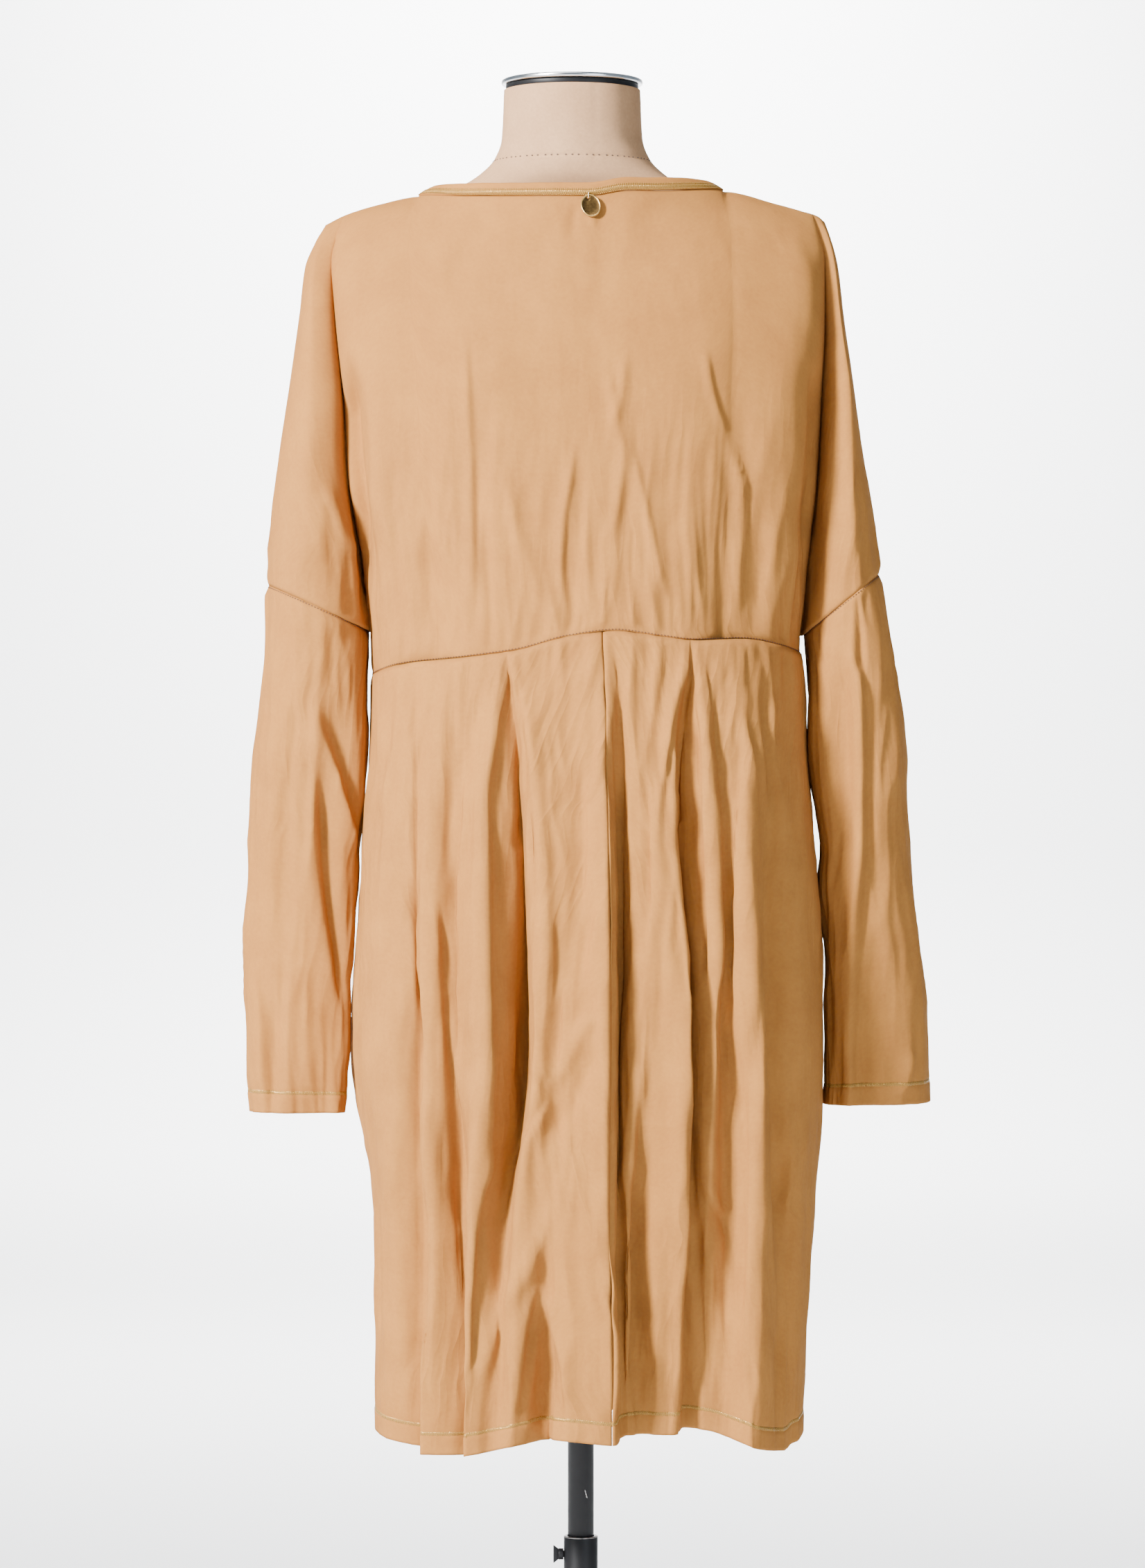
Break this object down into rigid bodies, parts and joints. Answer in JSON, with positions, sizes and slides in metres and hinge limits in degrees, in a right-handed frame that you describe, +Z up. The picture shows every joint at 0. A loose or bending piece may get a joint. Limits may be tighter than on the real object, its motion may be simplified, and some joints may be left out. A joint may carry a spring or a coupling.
{
  "type": "midi dress on a limbless dress form",
  "caption": "Oversized jersey dress with dropped long sleeves, a seamed waist and a pleated skirt, draped on a limbless dress form with a pole and round base.",
  "frame": {"origin": "on the floor, in the middle of the base's flat underside, on the pole's axis", "axes": "+Z up along the pole, -Y out of the back of the dress, +X to the wearer's right"},
  "size_m": [0.5544, 0.3276, 1.5383],
  "materials": {
    "jersey": "matt cotton jersey, camel",
    "linen": "matt twill-woven linen, natural",
    "thread": "pale sewing thread",
    "black_paint": "satin black",
    "chrome": "polished",
    "aged_brass": "aged, rim brighter"
  },
  "bodies": {
    "stand": {"base": "black_paint", "outer_tube": "black_paint"},
    "dress_on_form": {"back_bodice": "jersey", "front_bodice": "jersey", "neck_binding": "jersey", "back_skirt_left": "jersey", "back_skirt_right": "jersey", "front_skirt": "jersey", "sleeve_left": "jersey", "sleeve_right": "jersey", "form_torso": "linen", "neck_cap": "black_paint", "neck_ring": "chrome", "pole": "black_paint"},
    "lock_screw": {"lock_screw": "black_paint"},
    "charm": {"charm": "aged_brass", "charm_loop": "thread"}
  },
  "joints": [
    {"name": "height_slide", "type": "slide", "parent": "stand", "child": "dress_on_form", "axis": [0, 0, 1], "range_m": [-0.12, 0.12]},
    {"name": "lock_screw_turn", "type": "hinge", "parent": "stand", "child": "lock_screw", "pos_m": [-0.018, 0, 0.348], "axis": [-1, 0, 0], "continuous": true},
    {"name": "charm_swing", "type": "hinge", "parent": "dress_on_form", "child": "charm", "pos_m": [0.006, -0.06968, 1.44], "axis": [-1, 0, 0], "range_deg": [0, 80]}
  ]
}
